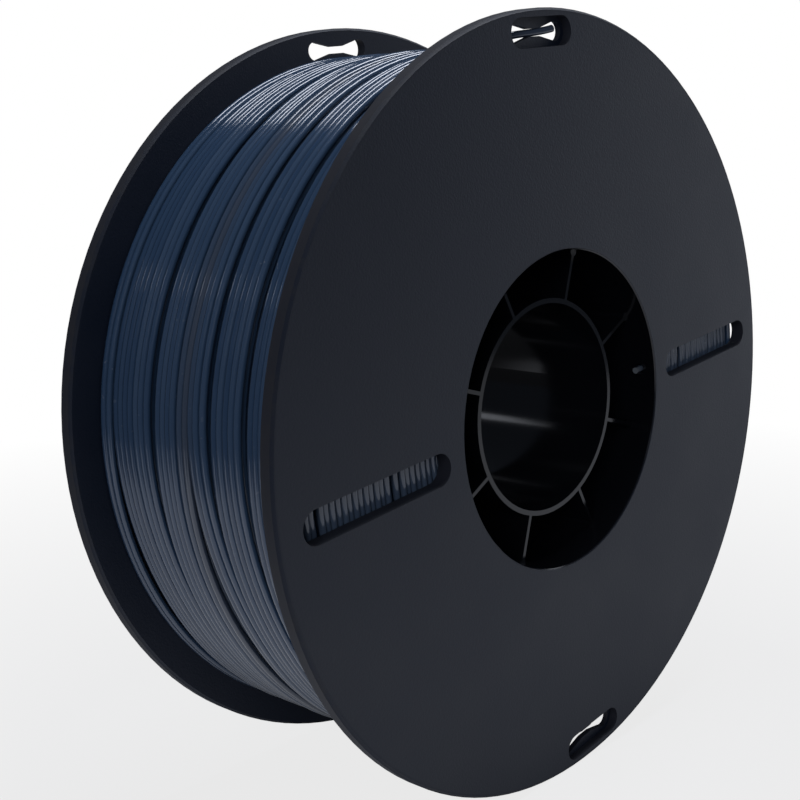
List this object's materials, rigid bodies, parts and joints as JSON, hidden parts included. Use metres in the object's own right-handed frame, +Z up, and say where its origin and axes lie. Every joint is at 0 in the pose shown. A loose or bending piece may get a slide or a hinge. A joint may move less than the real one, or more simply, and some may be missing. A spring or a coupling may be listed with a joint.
{
  "type": "filament spool",
  "caption": "Full spool of printer filament: two moulded flanged halves joined at the drum, wound with one long strand held in a rim clip.",
  "frame": {"origin": "middle of the bore, halfway between the two flange faces", "axes": "+Y along the spool's axis, from the near flange to the far one; +Z up, with the spool standing on its rims; +X across"},
  "size_m": [0.2, 0.074, 0.2],
  "materials": {
    "spool_plastic": "fine matte moulded surface, near black",
    "filament": "glossy slate blue extruded strand"
  },
  "bodies": {
    "root": {"near_half": "spool_plastic", "far_half": "spool_plastic", "filament_core": "filament", "filament_outer_turns": "filament", "filament_free_end": "filament"}
  },
  "joints": []
}
